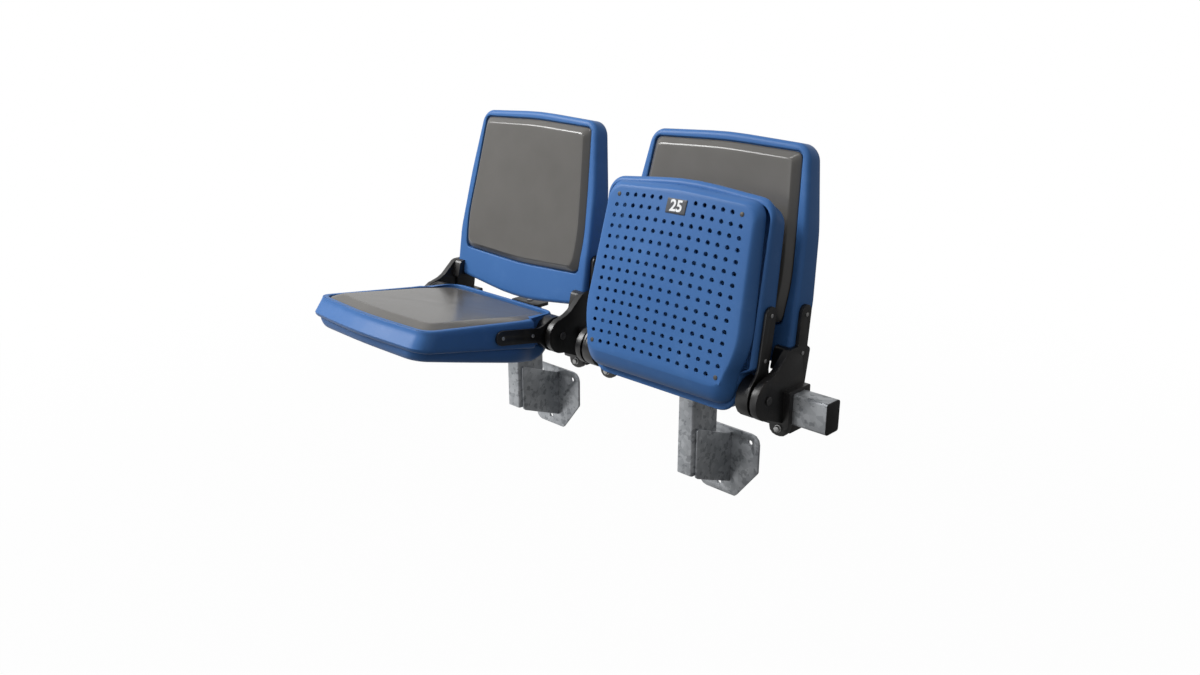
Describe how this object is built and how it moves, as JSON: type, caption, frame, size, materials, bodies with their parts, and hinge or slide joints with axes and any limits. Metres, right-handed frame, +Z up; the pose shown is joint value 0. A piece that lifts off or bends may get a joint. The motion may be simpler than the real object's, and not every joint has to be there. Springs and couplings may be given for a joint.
{
  "type": "stadium seat",
  "caption": "Riser-mounted beam of padded tip-up stadium seats with cast hinge brackets, moulded backrests, perforated under-covers and short wall legs.",
  "frame": {"origin": "mid-way between the wall plates, on the riser face, level with their upper holes", "axes": "+X along the row to a sitter's left, +Y backwards into the riser, +Z up"},
  "size_m": [1.1432, 0.5506, 0.7659],
  "materials": {
    "seat_plastic": "mid-blue moulded polypropylene, satin, fine grain",
    "cushion_vinyl": "dark grey vinyl over moulded foam, soft sheen",
    "black_metal": "black powder coat, satin",
    "black_plastic": "black moulded plastic",
    "galvanised": "hot-dip galvanised, mottled spangle",
    "zinc_steel": "zinc-plated steel",
    "dark_steel": "blackened steel",
    "plate_plastic": "dark engraved plastic",
    "bush_plastic": "dark nylon"
  },
  "bodies": {
    "frame": {"beam": "galvanised", "beam_cap_left": "black_plastic", "beam_cap_right": "black_plastic", "saddle_screws": "zinc_steel", "left_leg": "galvanised", "left_side_plate": "galvanised", "left_wall_plate": "galvanised", "left_leg_saddle": "black_plastic", "right_leg": "galvanised", "right_side_plate": "galvanised", "right_wall_plate": "galvanised", "right_leg_saddle": "black_plastic", "left_seat_backrest_shell": "seat_plastic", "left_seat_backrest_rear_cover": "seat_plastic", "left_seat_backrest_pad": "cushion_vinyl", "left_seat_backrest_rivets": "zinc_steel", "left_seat_clamp_screws": "zinc_steel", "left_seat_left_bracket": "black_metal", "left_seat_left_clamp_jaw": "black_metal", "left_seat_left_hinge_pin": "zinc_steel", "left_seat_right_bracket": "black_metal", "left_seat_right_clamp_jaw": "black_metal", "left_seat_right_hinge_pin": "zinc_steel", "right_seat_backrest_shell": "seat_plastic", "right_seat_backrest_rear_cover": "seat_plastic", "right_seat_backrest_pad": "cushion_vinyl", "right_seat_backrest_rivets": "zinc_steel", "right_seat_clamp_screws": "zinc_steel", "right_seat_left_bracket": "black_metal", "right_seat_left_clamp_jaw": "black_metal", "right_seat_left_hinge_pin": "zinc_steel", "right_seat_right_bracket": "black_metal", "right_seat_right_clamp_jaw": "black_metal", "right_seat_right_hinge_pin": "zinc_steel"},
    "left_seat": {"left_seat_shell": "seat_plastic", "left_seat_cover": "seat_plastic", "left_seat_pad": "cushion_vinyl", "left_seat_cover_screws": "dark_steel", "left_seat_number_plate": "plate_plastic", "left_seat_return_spring": "dark_steel", "left_seat_arm_rivets": "zinc_steel", "left_seat_left_arm": "black_metal", "left_seat_left_bush": "bush_plastic", "left_seat_right_arm": "black_metal", "left_seat_right_bush": "bush_plastic"},
    "right_seat": {"right_seat_shell": "seat_plastic", "right_seat_cover": "seat_plastic", "right_seat_pad": "cushion_vinyl", "right_seat_cover_screws": "dark_steel", "right_seat_number_plate": "plate_plastic", "right_seat_return_spring": "dark_steel", "right_seat_arm_rivets": "zinc_steel", "right_seat_left_arm": "black_metal", "right_seat_left_bush": "bush_plastic", "right_seat_right_arm": "black_metal", "right_seat_right_bush": "bush_plastic"}
  },
  "joints": [
    {"name": "left_seat_tip", "type": "hinge", "parent": "frame", "child": "left_seat", "pos_m": [-0.2703, -0.1905, 0.1925], "axis": [-1, 0, 0], "range_deg": [0, 89.5]},
    {"name": "right_seat_tip", "type": "hinge", "parent": "frame", "child": "right_seat", "pos_m": [0.2547, -0.1905, 0.1925], "axis": [-1, 0, 0], "range_deg": [-89.5, 0], "stiffness_Nm_per_rad": 4, "springref_deg": 34.38}
  ]
}
